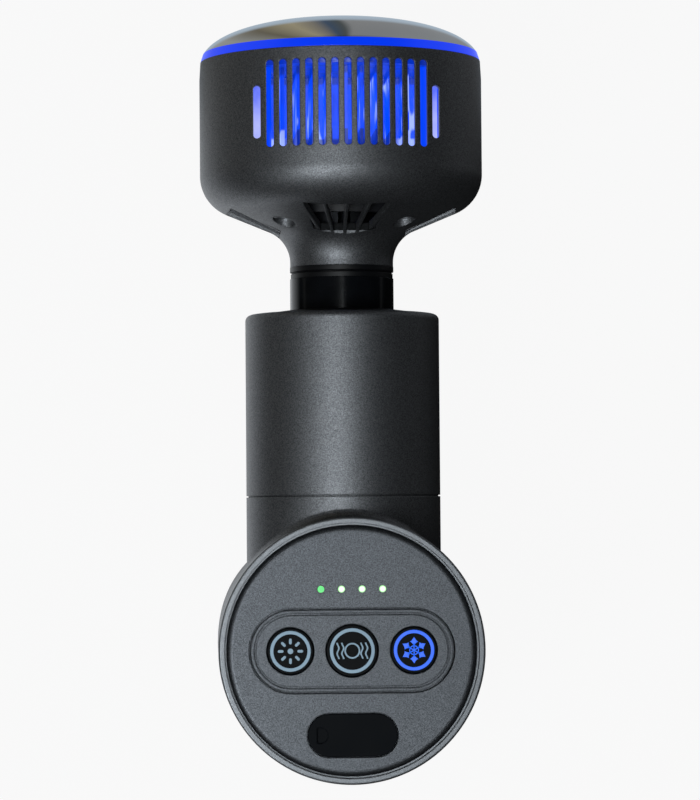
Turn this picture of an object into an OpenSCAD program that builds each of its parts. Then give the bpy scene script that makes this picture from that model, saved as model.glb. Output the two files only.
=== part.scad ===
// Hot and cold percussion massager with a short barrel on an upright handle.
// The handle stands on its base along +Z, with the control face on top.
// The barrel, the piston and the vented head lie along +Y.
// The origin is the centre of the base.

/* [Handle] */
// Height from the base to the front of the bezel ring
handle_h = 132; // [128:0.5:140]
// Outer radius of the handle under the bezel ring
handle_top_r = 25; // [24.8:0.1:26]
// Outer radius of the handle at its base
handle_base_r = 22.5; // [22:0.1:23.5]
// Wall of the handle shell
handle_wall = 1.8; // [1.5:0.1:1.9]
// Bend of the taper, 1 for a straight cone
taper_bend = 1.4; // [1:0.1:1.6]
// Thickness of the end cap's flange
cap_flange_t = 1.2; // [1:0.1:1.6]
// Height of the end cap's spigot
cap_spigot_h = 4; // [3:0.2:5]

/* [Barrel] */
// Outer radius of the barrel
barrel_r = 19; // [18.6:0.1:19.8]
// Wall of the barrel
barrel_wall = 2; // [1.7:0.1:2.2]
// Depth of the barrel's axis under the front of the bezel ring
barrel_drop = 27.7; // [27.5:0.1:29]
// Distance from the handle's axis to the barrel's mouth
barrel_reach = 64.9; // [62:0.5:66]
// Distance from the handle's axis to the seam
seam_y = 29.2; // [28:0.1:32]
// Width of the seam
seam_w = 0.3; // [0.2:0.05:0.5]
// Depth of the seam
seam_depth = 0.4; // [0.3:0.05:0.8]
// Round of the barrel's mouth
mouth_round = 1.2; // [0.6:0.1:1.3]
// Fillet between the barrel and the handle
blend_r = 2.4; // [1.6:0.2:2.4]
// Rise of the deck from the barrel's mouth to the shaft
deck_rise = 0.8; // [0.4:0.1:0.9]
// Width of the sleeve's rim round the deck
deck_rim = 1.5; // [1.3:0.1:1.6]

/* [Control face] */
// Width of the bezel ring's front band
bezel_band = 1.13; // [1:0.01:1.2]
// How far the bezel ring stands out past the handle
bezel_proud = 0.2; // [0.1:0.1:0.4]
// Height of the bezel ring above the handle shell
bezel_h = 2.5; // [2.3:0.1:3]
// Gap between the bezel ring and the face plate
face_gap = 0.35; // [0.3:0.05:0.4]
// How far the face lies under the bezel ring's front
face_recess = 0.5; // [0.3:0.1:0.7]
// Thickness of the face plate's rim
rim_t = 1.5; // [1.4:0.1:1.6]
// Thickness of the face plate inside its rim
plate_t = 3.1; // [2.8:0.1:3.4]
// Round of the face plate's edge
face_round = 1.2; // [0.8:0.1:1.3]
// Length of the racetrack opening round the buttons
track_l = 39; // [38:0.2:39.6]
// Width of the racetrack opening
track_w = 16.1; // [15.6:0.1:16.6]
// Gap round the button surround
track_gap = 0.4; // [0.2:0.05:0.5]
// Width of the surround's rib
rib_w = 0.55; // [0.5:0.05:0.8]
// Width of the groove inside the rib
groove_w = 0.42; // [0.3:0.02:0.5]
// Depth of the groove inside the rib
groove_depth = 0.8; // [0.5:0.1:1]

/* [Buttons] */
// Distance between button centres
button_pitch = 11.66; // [11.4:0.02:12]
// Radius of the holes of the two outer buttons
side_hole_r = 4.54; // [4.3:0.02:4.7]
// Radius of the middle button's hole
centre_hole_r = 5.05; // [4.8:0.05:5.2]
// Gap between a button and its hole
button_gap = 0.15; // [0.1:0.05:0.2]
// How far a button stands out of the face
button_proud = 0.1; // [0:0.05:0.3]
// Travel of a button
button_travel = 0.6; // [0.4:0.1:0.7]
// Outer radius of an outer button's light ring
side_ring_r = 3.84; // [3.6:0.02:3.9]
// Outer radius of the middle button's light ring
centre_ring_r = 4.25; // [4:0.05:4.4]
// Width of a light ring
ring_w = 0.65; // [0.5:0.05:0.8]
// Depth of a light ring in its button
ring_depth = 0.8; // [0.6:0.1:1.2]

/* [Lights and port] */
// Number of indicator lights
light_count = 4; // [3:1:5]
// Distance between indicator lights
light_pitch = 3.89; // [3:0.01:4.2]
// Radius of an indicator light
light_r = 0.64; // [0.5:0.02:0.8]
// Height of the lights above the buttons' centre line
light_y = 11.6; // [10.6:0.1:13]
// Depth of the port under the buttons' centre line
port_drop = 15.9; // [15.4:0.1:16.1]
// Length of the port cover
cover_l = 16.9; // [15:0.1:17.4]
// Width of the port cover
cover_w = 8.05; // [7.4:0.05:8.3]
// Thickness of the port cover
cover_t = 1.8; // [1.4:0.1:1.8]
// Gap round the port cover
cover_gap = 0.2; // [0.15:0.05:0.3]
// Length of the socket's mouth
socket_l = 9; // [8.8:0.1:9.2]
// Width of the socket's mouth
socket_w = 3.2; // [3.1:0.1:3.4]

/* [Drive] */
// Throw of the crank, half the stroke
crank_throw = 3; // [2.5:0.25:4]
// Distance between the rod's two pivots
rod_l = 33; // [32.5:0.5:35]
// Thickness of the rod
rod_t = 5; // [4:0.5:5.5]
// Radius of the motor
motor_r = 17; // [15:0.5:18]
// Height of the motor
motor_h = 19.8; // [18:0.2:20]
// Radius of the motor's shaft
shaft_r = 2.5; // [2:0.25:3]
// Radius of the crank pin
pin_r = 3; // [2.5:0.25:3.5]
// Height of the crank pin over its disc
pin_h = 1.2; // [1:0.1:1.4]
// Thickness of the crank's disc
disc_t = 3; // [2.6:0.1:3.4]
// Radius of the crank's disc on the pin's side
disc_r = 8; // [7:0.25:9]
// Gap between the crank's disc and the motor's plate
disc_gap = 1.3; // [1.25:0.05:1.6]
// Thickness of the motor's plate
frame_t = 2; // [1.6:0.1:2.4]
// Wall of the rod's big end round the bearing
big_end_wall = 1.6; // [1.2:0.1:2]
// Wall of the big-end bearing
bearing_wall = 2; // [1.6:0.1:2.2]
// Radius of the wrist pin
wrist_r = 2; // [1.5:0.25:2.5]
// Wall of the rod's small end
small_end_wall = 2.6; // [2:0.1:3]
// Width of the rod's beam
beam_w = 5.4; // [4.8:0.2:6]
// Depth of the groove in each side of the beam
beam_groove = 1.2; // [0.8:0.1:1.4]
// Radius of an internal lead
lead_r = 0.8; // [0.6:0.1:0.9]
// How far the piston's skirt reaches past the wrist pin
skirt_l = 6; // [5.5:0.25:7]
// How far the wrist pin ends inside the piston's surface
wrist_inset = 1.85; // [1.6:0.05:2.2]
// Wall of the guide bush
bush_wall = 3; // [2.4:0.1:3.2]
// Wall of the collar's hub round the guide bush
hub_wall = 1.8; // [1.4:0.1:2.2]
// Wall of the sleeve's spigot
spigot_wall = 1.7; // [1.4:0.1:1.9]
// Length of the guide bush
bush_l = 17.1; // [14:0.1:18]

/* [Cells] */
// Radius of a cell
cell_r = 9.1; // [8.6:0.1:9.2]
// Thickness of the holder's end plates
holder_plate_t = 2; // [1.6:0.1:2.4]
// Radius of the holder's ribs
holder_rib_w = 2.6; // [2.4:0.1:2.8]

/* [Head] */
// Radius of the head's side
head_r = 27.7; // [27:0.1:29]
// Wall of the head shell
head_wall = 1.8; // [1.6:0.1:2]
// Radius of the head's neck
neck_r = 10.1; // [9.9:0.05:10.6]
// Length of the shaft that shows between the deck and the seal
shaft_show = 6.2; // [6.2:0.1:9]
// Height of the seal
seal_h = 2.3; // [1.8:0.1:3]
// Height from the seal to where the neck's line meets the slope
neck_h = 4.8; // [4.4:0.1:5.4]
// Height from the seal to the head shell's rim
head_h = 40.3; // [40:0.5:44]
// Slope of the head's underside in degrees
head_slope = 22.8; // [20:0.2:25]
// Fillet of the neck
neck_fillet = 5.5; // [4.5:0.25:6]
// Round of the shoulder
shoulder_round = 8; // [7:0.5:9]
// Height of the light ring
light_ring_h = 1.7; // [1.4:0.1:2.2]
// Height of the contact plate's crown
crown_h = 6.8; // [6:0.1:8]
// Power of the crown's superellipse, 2 for a plain ellipse
crown_power = 2.2; // [2:0.05:2.6]

/* [Head vents] */
// Number of slots in a side
slot_count = 15; // [9:2:15]
// Distance between slots
slot_pitch = 2.44; // [2.2:0.02:2.5]
// Width of a slot
slot_w = 1.4; // [1:0.1:1.5]
// Length of a slot
slot_l = 16.7; // [12:0.1:17]
// Length of the two outermost slots
short_slot_l = 10.2; // [8:0.2:12]
// Distance from the shell's rim to the top of the long slots
slot_top = 2.2; // [2:0.1:4]
// Distance from the shell's rim to the top of the short slots
short_slot_top = 6.9; // [5:0.1:8]
// Distance from the neck to a window in the underside
window_in_gap = 2.1; // [1.9:0.1:2.8]
// Distance from the head's side to a window
window_out_gap = 5.9; // [5.2:0.1:7]
// Half width of a window at its inner edge
window_in_w = 6; // [5:0.1:6.2]
// Half width of a window at its outer edge
window_out_w = 8.4; // [7:0.1:8.6]
// Width of the ribs across a window
window_rib_w = 0.6; // [0.5:0.05:1]
// Angle between ribs
window_rib_step = 11.2; // [10:0.2:12]
// Distance of the head screws from the neck's surface
screw_reach = 6.3; // [6:0.1:6.8]
// Height of the nut that holds the head on the piston
nut_h = 2.6; // [2.2:0.1:3]
// Radius of a screw recess
recess_r = 2.2; // [2:0.1:2.4]

/* [Head inside] */
// Side of the thermoelectric module
module_side = 25; // [22:0.5:26]
// Thickness of the thermoelectric module
module_t = 3.6; // [3:0.2:4]
// Thickness of the heat sink's base
sink_base_t = 2.4; // [2.2:0.1:3]
// Thickness of the contact plate at its middle
crown_t = 3.6; // [3.2:0.1:4.2]
// Thickness of the contact plate at its edge
plate_edge_t = 1.8; // [1.5:0.1:2.2]
// Number of fins
fin_count = 13; // [9:2:15]
// Distance between fins
fin_pitch = 3; // [2.6:0.1:3.1]
// Thickness of a fin
fin_t = 0.7; // [0.6:0.1:1.2]
// Gap between the fan's duct and the fins
fin_gap = 1; // [0.8:0.1:3]
// Thickness of the rib across the fins
fin_rib_t = 1; // [0.8:0.1:1.4]
// Width of the light board's ring
light_board_w = 5.45; // [5.2:0.05:6]
// Wall of the fan's duct
duct_wall = 1.2; // [1:0.1:1.4]
// Height of the fan's duct over its tray
fan_h = 7; // [6:0.2:7.4]
// Depth of the duct's inlet skirt under the tray
inlet_skirt = 4.4; // [3:0.2:4.6]
// Gap round the fan's blades
blade_gap = 0.4; // [0.3:0.05:0.6]
// Thickness of a blade
blade_t = 0.8; // [0.6:0.1:1]
// Number of blades
blade_count = 7; // [5:1:9]

/* [Fits] */
// Running clearance of shafts and pins
run_fit = 0.05; // [0.02:0.01:0.08]
// Clearance of pieces that slide together once
slip_fit = 0.05; // [0.04:0.01:0.1]
// Axial clearance of the opened crank pivot
pivot_gap = 0.3; // [0.25:0.05:0.5]

/* [Hidden] */
$fn = 96;
far = 100;
skin = 0.01;

// Heights on the handle
barrel_z = handle_h - barrel_drop;
bezel_groove = 0.3;
shell_top = handle_h - bezel_h - bezel_groove;
face_z = handle_h - face_recess;
ledge_z = face_z - rim_t;
plate_z = face_z - plate_t;
surround_flange_t = 1.2;
surround_z = plate_z - surround_flange_t;
socket_depth = 5;
rod_z = barrel_z - rod_t / 2;
disc_top = rod_z - pivot_gap - pin_h;
frame_z = disc_top - disc_t - disc_gap - frame_t;
motor_z = frame_z - motor_h;
cells_z = cap_flange_t + cap_spigot_h + holder_plate_t;
cells_top = motor_z - holder_plate_t;

// Radii on the handle
bezel_r = handle_top_r + bezel_proud;
band_in_r = bezel_r - bezel_band;
plate_r = band_in_r - face_gap;
boss_r = plate_r - 2.42;
socket_r = handle_top_r - handle_wall;
bore_r = barrel_r - barrel_wall;
board_t = 1.6;
board_z = barrel_z + bore_r - 4.3;
board_top = board_z + board_t;
frame_r = cavity_r(frame_z + frame_t) - 0.6;
frame_wall = 1.8;
lead_y = -motor_r - lead_r - 0.8;
motor_lead_y = -motor_r + 1.2;
frame_bore_r = bore_r + 0.2;

// Places along the barrel
mouth_y = barrel_reach;
deck_y = mouth_y + deck_rise;
seal_y = deck_y + shaft_show;
neck_y = seal_y + seal_h;
rim_y = neck_y + head_h;
glow_y = rim_y + light_ring_h;
wrist_y = crank_throw + rod_l;
piston_y = wrist_y - skirt_l;
sleeve_in_r = bore_r - slip_fit - spigot_wall;
hub_r = sleeve_in_r - 0.25;
bush_r = hub_r - hub_wall;
piston_r = bush_r - bush_wall - run_fit;
collar_t = 3;
seat_y = mouth_y - 1.3;

// The head's outline, as two arcs joined by the slope
turn = 90 - head_slope;
neck_corner_y = neck_y + neck_h;
shoulder_y = neck_corner_y + (head_r - neck_r) * tan(head_slope);
neck_centre = [neck_r + neck_fillet, neck_corner_y - neck_fillet * tan(turn / 2)];
shoulder_centre = [head_r - shoulder_round, shoulder_y + shoulder_round * tan(turn / 2)];
floor_y = neck_centre[1] + (neck_fillet + head_wall) * sin(180 - turn);
bore_in_r = head_r - head_wall;
rim_taper = 0.2;
spigot_r = piston_r - 2.15;
wire_bore_r = spigot_r - 2.5;

// The stack inside the head, from the contact plate down
module_top = glow_y + crown_h - crown_t;
module_y = module_top - module_t;
sink_top = rim_y - 0.5;
sink_y = sink_top - sink_base_t;
plate_spigot_r = bore_in_r - 1.05;
tray_y = shoulder_centre[1] - 3.3;
tray_t = 1.6;
tray_r = shoulder_centre[0] + 4.5;
post_circle_r = bore_in_r - 3.3;
screw_circle_r = neck_r + screw_reach;
screw_boss_r = recess_r + 1.2;
nut_r = screw_circle_r - screw_boss_r - 1.8;
fin_circle_r = post_circle_r - 2.1;
board_r = post_circle_r - 1.9;
duct_r = board_r - light_board_w - slip_fit;
fan_hole_r = duct_r - duct_wall;
fan_r = fan_hole_r - blade_gap;
fan_top = tray_y + fan_h;
fin_h = sink_y - fan_top - fin_gap;

button_x = [-button_pitch, 0, button_pitch];
button_hole = [side_hole_r, centre_hole_r, side_hole_r];
button_glow = [side_ring_r, centre_ring_r, side_ring_r];
corner_angles = [45, 135, 225, 315];
third_angles = [60, 180, 300];
post_angles = [50, 130, 215, 325];

function handle_r(z) =
    handle_top_r - (handle_top_r - handle_base_r) * pow(max(handle_h - z, 0) / handle_h, taper_bend);
function cavity_r(z) = handle_r(z) - handle_wall;
function arc(centre, r, from, to, steps = 8) =
    [for (i = [0:steps]) let(a = from + (to - from) * i / steps) centre + r * [cos(a), sin(a)]];

// ---- Shared shapes ----

// Turns a shape drawn along +Z so that it lies along the barrel's axis
module along_barrel() {
    translate([0, 0, barrel_z]) rotate([-90, 0, 0]) children();
}

// A flat outline with two round ends, long in x
module racetrack(l, w) {
    straight = (l - w) / 2;
    polygon(concat(
        arc([straight, 0], w / 2, -90, 90, 16),
        arc([-straight, 0], w / 2, 90, 270, 16)
    ));
}

// A tube between two heights
module tube(z0, z1, outer, inner) {
    translate([0, 0, z0]) difference() {
        cylinder(h = z1 - z0, r = outer);
        translate([0, 0, -skin]) cylinder(h = z1 - z0 + 2 * skin, r = inner);
    }
}

module rod(z0, z1, r) {
    translate([0, 0, z0]) cylinder(h = z1 - z0, r = r);
}

// Copies a shape to places on a circle
module on_circle(r, angles) {
    for (a = angles) rotate(a) translate([r, 0, 0]) children();
}

// ---- Handle ----

// Solid fillet swept along the line where the barrel leaves the handle.
// A ball of the fillet's radius rolls on both, and its two touching points bound the arc.
module barrel_blend() {
    sink = 0.05;
    root = 0.9;
    stations = 48;
    steps = 6;
    ball = blend_r - sink;
    function centre(a) =
        let(x = (barrel_r + ball) * sin(a),
            z = barrel_z + (barrel_r + ball) * cos(a),
            reach = handle_r(z) + ball)
        [x, sqrt(reach * reach - x * x), z];
    function on_barrel(a, inset) =
        let(c = centre(a)) [(barrel_r - inset) * sin(a), c[1], barrel_z + (barrel_r - inset) * cos(a)];
    function on_handle(a) =
        let(c = centre(a), r = handle_r(c[2]) - sink) [c[0], c[1], 0] * r / norm([c[0], c[1]])
            + [0, 0, c[2]];
    function root_point(a) =
        let(x = (barrel_r - root) * sin(a),
            z = barrel_z + (barrel_r - root) * cos(a),
            r = handle_r(z) - root)
        [x, sqrt(r * r - x * x), z];
    function unit(v) = v / norm(v);
    function section(a) =
        let(c = centre(a), u = unit(on_barrel(a, 0) - c), v = unit(on_handle(a) - c))
        concat(
            [root_point(a)],
            [for (i = [0:steps]) c + blend_r * unit(u * (1 - i / steps) + v * (i / steps))]
        );
    width = steps + 2;
    rings = [for (s = [0:stations - 1]) section(360 * s / stations)];
    points = [for (ring = rings) for (p = ring) p];
    faces = [
        for (s = [0:stations - 1]) for (i = [0:width - 1])
            let(a = s * width + i,
                b = s * width + (i + 1) % width,
                c = ((s + 1) % stations) * width + (i + 1) % width,
                d = ((s + 1) % stations) * width + i)
            each [[a, b, c], [a, c, d]]
    ];
    polyhedron(points, faces);
}

// One moulding: the tapered handle with the stub of the barrel
module handle_shell() {
    steps = 12;
    top_step = shell_top - socket_depth;
    outside = [for (i = [0:steps]) let(z = cap_flange_t + (shell_top - cap_flange_t) * i / steps)
        [handle_r(z), z]];
    inside = [for (i = [0:steps]) let(z = top_step * (1 - i / steps)) [cavity_r(z), z]];
    color("#3c4044") difference() {
        union() {
            rotate_extrude() polygon(concat([[0, cap_flange_t]], outside, [[0, shell_top]]));
            along_barrel() cylinder(h = seam_y, r = barrel_r);
            barrel_blend();
        }
        rotate_extrude() polygon(concat(
            [[0, shell_top + 1], [socket_r, shell_top + 1], [socket_r, top_step]], inside, [[0, 0]]
        ));
        along_barrel() cylinder(h = seam_y + 1, r = bore_r);
    }
}

module end_cap() {
    edge = 0.7;
    spigot_r = cavity_r(cap_flange_t) - slip_fit - 0.1;
    flange_r = handle_base_r - 0.3;
    color("#2c2f33") difference() {
        union() {
            rotate_extrude() polygon(concat(
                [[0, 0]], arc([flange_r - edge, edge], edge, -90, 0, 4),
                [[flange_r, cap_flange_t], [0, cap_flange_t]]
            ));
            tube(cap_flange_t - skin, cap_flange_t + cap_spigot_h, spigot_r, spigot_r - 2);
            on_circle(holder_rib_r, third_angles) rod(cap_flange_t - skin, cap_flange_t + cap_spigot_h, 3.2);
        }
        on_circle(holder_rib_r, third_angles) {
            rod(-1, 2.2, 2.3);
            rod(-1, far, 1.25 + run_fit);
        }
    }
}

module end_cap_screws() {
    color("#8a8d90") on_circle(holder_rib_r, third_angles) {
        rod(0.6, 2.2, 2.1);
        rod(2.2 - skin, cells_z + 6, 1.25);
    }
}

// ---- Cells ----

cell_circle_r = 2 * (cell_r + 0.02) / sqrt(3);
holder_r = cell_circle_r + cell_r + 0.25;
holder_rib_r = 15.6;

module battery_cells() {
    color("#3f7f5f") on_circle(cell_circle_r, [0, 120, 240]) {
        rod(cells_z, cells_top - 1.2, cell_r);
        rod(cells_top - 1.2 - skin, cells_top, 3);
    }
}

// Two end plates joined by three ribs that stand between the cells
module battery_holder() {
    bottom = cells_z - holder_plate_t;
    top = motor_z;
    color("#1d1f22") difference() {
        union() {
            rod(bottom, cells_z, holder_r);
            rod(cells_top, top, holder_r);
            on_circle(holder_rib_r, third_angles) rod(bottom, top, holder_rib_w);
        }
        on_circle(holder_rib_r, third_angles) rod(bottom - 1, cells_z + 7, 1.25 + run_fit);
        rod(bottom - 1, top + 1, 1.2);
    }
}

// ---- Motor, chassis and crank ----

motor_screw_r = motor_r - 3;
motor_screw_depth = 5;
motor_bore = 8;

module motor_can() {
    edge = 0.8;
    color("#a7abb0") difference() {
        translate([0, 0, motor_z]) rotate_extrude() polygon(concat(
            [[0, 0]], arc([motor_r - edge, edge], edge, -90, 0, 4),
            arc([motor_r - edge, motor_h - edge], edge, 0, 90, 4), [[0, motor_h]]
        ));
        rod(frame_z - motor_bore, frame_z + 1, shaft_r + run_fit);
        on_circle(motor_screw_r, corner_angles) rod(frame_z - motor_screw_depth, frame_z + 1, 1.3);
    }
}

// A plate on the motor with a round wall that carries the control board
module motor_frame() {
    color("#26282b") difference() {
        union() {
            rod(frame_z, frame_z + frame_t, frame_r);
            tube(frame_z, board_z, frame_r, frame_r - frame_wall);
        }
        rod(frame_z - 1, frame_z + frame_t + 1, 7);
        translate([0, (lead_y + motor_lead_y) / 2, frame_z - 1]) linear_extrude(frame_t + 2)
            racetrack(6 * lead_r + 4.4, motor_lead_y - lead_y + 2 * lead_r + 0.6);
        on_circle(motor_screw_r, corner_angles) rod(frame_z - 1, frame_z + frame_t + 1, 1.6);
        along_barrel() cylinder(h = far, r = frame_bore_r);
    }
}

module motor_screws() {
    color("#8a8d90") on_circle(motor_screw_r, corner_angles) {
        rod(frame_z - motor_screw_depth + 0.5, frame_z + frame_t + skin, 1.25);
        rod(frame_z + frame_t, frame_z + frame_t + 1.2, 2.2);
    }
}

// Two leads from the cells and two from the motor, up through the chassis to the control board
module power_leads() {
    color("#8f1d1d") for (side = [-1, 1]) {
        translate([side * lead_r * 1.4, lead_y, 0]) rod(motor_z, board_z, lead_r);
        translate([side * lead_r * 3.6, motor_lead_y, 0]) rod(frame_z, board_z, lead_r);
    }
}

// Shaft, disc, counterweight and crank pin, with the pin at top dead centre
module crank() {
    color("#9a9da1") {
        rod(frame_z - motor_bore + 0.4, disc_top - disc_t + skin, shaft_r);
        translate([0, 0, disc_top - disc_t]) linear_extrude(disc_t) union() {
            circle(r = disc_r);
            intersection() {
                circle(r = motor_screw_r - 3);
                translate([-far / 2, -far]) square([far, far - 1]);
            }
        }
        translate([0, crank_throw, 0]) rod(disc_top - skin, rod_z - pivot_gap, pin_r);
    }
}

module connecting_rod() {
    bearing_r = pin_r + bearing_wall;
    big_r = bearing_r + big_end_wall;
    small_r = wrist_r + small_end_wall;
    color("#b4b7bb") difference() {
        union() {
            translate([0, crank_throw, 0]) rod(rod_z, rod_z + rod_t, big_r);
            translate([0, wrist_y, 0]) rod(rod_z, rod_z + rod_t, small_r);
            translate([-beam_w / 2, crank_throw, rod_z]) cube([beam_w, rod_l, rod_t]);
        }
        translate([0, crank_throw, 0]) rod(rod_z - 1, rod_z + rod_t + 1, bearing_r);
        translate([0, wrist_y, 0]) rod(rod_z - 1, rod_z + rod_t + 1, wrist_r + run_fit);
        for (z = [rod_z - 1, rod_z + rod_t - beam_groove])
            translate([0, crank_throw + (big_r + rod_l - small_r) / 2, z])
                linear_extrude(beam_groove + 1) rotate(90) racetrack(rod_l - big_r - small_r - 2, beam_w - 2.4);
    }
}

module big_end_bearing() {
    color("#c9ccd0") translate([0, crank_throw, 0])
        tube(rod_z + 0.3, rod_z + rod_t - 0.3, pin_r + bearing_wall - 0.02, pin_r + run_fit);
}

// ---- Barrel ----

module barrel_sleeve() {
    spigot_out_r = bore_r - slip_fit;
    spigot_l = seam_y - frame_r - 0.4;
    counterbore_r = barrel_r - deck_rim;
    color("#3c4044") along_barrel() rotate_extrude() polygon(concat(
        [[sleeve_in_r, seam_y - spigot_l], [spigot_out_r, seam_y - spigot_l], [spigot_out_r, seam_y],
            [barrel_r - seam_depth, seam_y], [barrel_r - seam_depth, seam_y + seam_w],
            [barrel_r, seam_y + seam_w]],
        arc([barrel_r - mouth_round, mouth_y - mouth_round], mouth_round, 0, 90, 6),
        [[counterbore_r, mouth_y], [counterbore_r, mouth_y - collar_t],
            [sleeve_in_r, mouth_y - collar_t]]
    ));
}

// Black deck at the barrel's mouth, with the hub that holds the guide bush
module barrel_collar() {
    hub_l = 17;
    rim_r = barrel_r - deck_rim - slip_fit;
    hole_r = piston_r + 0.3;
    color("#141517") along_barrel() rotate_extrude() polygon([
        [hole_r, seat_y], [bush_r + skin, seat_y], [bush_r + skin, mouth_y - hub_l],
        [hub_r, mouth_y - hub_l], [hub_r, mouth_y - collar_t], [rim_r, mouth_y - collar_t],
        [rim_r, mouth_y - 0.1], [hole_r + 0.4, deck_y], [hole_r, deck_y - 0.3]
    ]);
}

module guide_bush() {
    color("#d8d4c6") along_barrel()
        tube(seat_y - bush_l, seat_y, bush_r, piston_r + run_fit);
}

// ---- Piston ----

module piston_sleeve() {
    slot_w = 2 * (wrist_r + small_end_wall) + 1.6;
    slot_t = rod_t + 0.6;
    pin_l = piston_r - wrist_inset;
    slot_end = wrist_y + wrist_r + small_end_wall + 2;
    color("#0d0e10") difference() {
        along_barrel() union() {
            rod(piston_y, seal_y, piston_r);
            rod(seal_y - skin, floor_y + 3.4, spigot_r);
        }
        along_barrel() rod(slot_end - 1, far * 2, wire_bore_r);
        translate([-slot_w / 2, piston_y - 1, barrel_z - slot_t / 2])
            cube([slot_w, slot_end - piston_y + 1, slot_t]);
        translate([0, wrist_y, 0]) rod(barrel_z - pin_l - 0.1, barrel_z + pin_l + 0.1, wrist_r + skin);
    }
}

module wrist_pin() {
    pin_l = piston_r - wrist_inset;
    color("#b4b7bb") translate([0, wrist_y, 0]) rod(barrel_z - pin_l, barrel_z + pin_l, wrist_r);
}

// Black two-step seal between the shaft and the head's neck
module seal_ring() {
    step = 0.15;
    groove_y = seal_y + seal_h * 0.5;
    inner = spigot_r + slip_fit;
    color("#17181a") along_barrel() rotate_extrude() polygon([
        [inner, seal_y], [piston_r - step, seal_y], [piston_r - step, groove_y - 0.2],
        [piston_r - 3 * step, groove_y], [piston_r, groove_y + 0.2], [piston_r, neck_y],
        [inner, neck_y]
    ]);
}

module neck_nut() {
    color("#9a9da1") along_barrel() difference() {
        rod(floor_y, floor_y + nut_h, nut_r);
        rod(floor_y - 1, floor_y + nut_h + 1, spigot_r + slip_fit);
        on_circle(nut_r, [0, 90, 180, 270]) rod(floor_y - 1, floor_y + nut_h + 1, 1.2);
    }
}

// ---- Head shell ----

// The ribbed window in the underside that lies towards +x
module window_outline() {
    window_in_r = neck_r + window_in_gap;
    window_out_r = head_r - window_out_gap;
    difference() {
        polygon([
            [window_in_r, -window_in_w], [window_out_r, -window_out_w],
            [window_out_r + 0.7, 0], [window_out_r, window_out_w], [window_in_r, window_in_w]
        ]);
        for (i = [-2:2]) rotate(i * window_rib_step)
            translate([0, -window_rib_w / 2]) square([far, window_rib_w]);
    }
}

module slot_outlines() {
    last = (slot_count - 1) / 2;
    for (i = [-last:last]) {
        short = abs(i) == last;
        l = short ? short_slot_l : slot_l;
        top = rim_y - (short ? short_slot_top : slot_top);
        translate([i * slot_pitch, top - l / 2]) rotate(90) racetrack_small(l, slot_w);
    }
}

module racetrack_small(l, w) {
    straight = (l - w) / 2;
    polygon(concat(
        arc([straight, 0], w / 2, -90, 90, 6),
        arc([-straight, 0], w / 2, 90, 270, 6)
    ));
}

module head_shell() {
    recess_y = neck_corner_y + (screw_circle_r - neck_r) * tan(head_slope) + 3;
    outside = concat(
        [[spigot_r + slip_fit, neck_y], [neck_r, neck_y]],
        arc(neck_centre, neck_fillet, 180, 180 - turn, 10),
        arc(shoulder_centre, shoulder_round, -turn, 0, 10),
        [[head_r, rim_y - 3.5], [head_r - rim_taper, rim_y]]
    );
    inside = concat(
        [[bore_in_r, rim_y]],
        arc(shoulder_centre, shoulder_round - head_wall, 0, -turn, 8),
        [[neck_centre[0] + (neck_fillet + head_wall) * cos(180 - turn), floor_y],
            [spigot_r + slip_fit, floor_y]]
    );
    color("#3c4044") along_barrel() difference() {
        union() {
            rotate_extrude() polygon(concat(outside, inside));
            on_circle(screw_circle_r, corner_angles) rod(recess_y - 1.5, tray_y, screw_boss_r);
        }
        for (a = [0, 90, 180, 270]) rotate(a) translate([0, 0, neck_y])
            linear_extrude(tray_y - neck_y - 0.6) window_outline();
        for (side = [0, 180]) rotate(side)
            translate([0, -bore_in_r * 0.55, 0]) rotate([90, 0, 0]) linear_extrude(head_r)
                slot_outlines();
        on_circle(screw_circle_r, corner_angles) {
            rod(neck_y, recess_y, recess_r);
            rod(neck_y, tray_y + 1, 1.1);
        }
    }
}

module head_screws() {
    seat_y = neck_corner_y + (screw_circle_r - neck_r) * tan(head_slope) + 3;
    color("#3a3c3f") along_barrel() on_circle(screw_circle_r, corner_angles) {
        rod(seat_y - 1.6, seat_y, recess_r - 0.2);
        rod(seat_y - skin, tray_y + tray_t + 1.7, 1);
    }
}

// ---- Inside the head ----

// Tray with the fan's duct, its spokes and the posts that carry the heat sink
module fan_frame() {
    hub_r = 5;
    color("#1d1f22") along_barrel() difference() {
        union() {
            rod(tray_y, tray_y + tray_t, tray_r);
            rod(tray_y, fan_top, duct_r);
            difference() {
                rod(tray_y - inlet_skirt, tray_y + skin, duct_r);
                on_circle(screw_circle_r, corner_angles)
                    rod(tray_y - inlet_skirt - 1, tray_y, screw_boss_r + 0.3);
            }
            on_circle(post_circle_r, corner_angles) rod(tray_y + tray_t - skin, sink_y, 1.8);
            on_circle(screw_circle_r, corner_angles) rod(tray_y + tray_t - skin, tray_y + tray_t + 2, 1.9);
        }
        difference() {
            rod(tray_y - inlet_skirt - 1, fan_top + 1, fan_hole_r);
            rod(fan_top - 1, fan_top + 2, hub_r);
            for (a = [30, 150, 270]) rotate(a) translate([0, -0.9, fan_top - 1])
                cube([far, 1.8, 3]);
        }
        rod(fan_top - 2, fan_top + 1, 1 + run_fit);
        on_circle(screw_circle_r, corner_angles) rod(tray_y - 1, tray_y + tray_t + 1.9, 1 + run_fit);
    }
}

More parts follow.
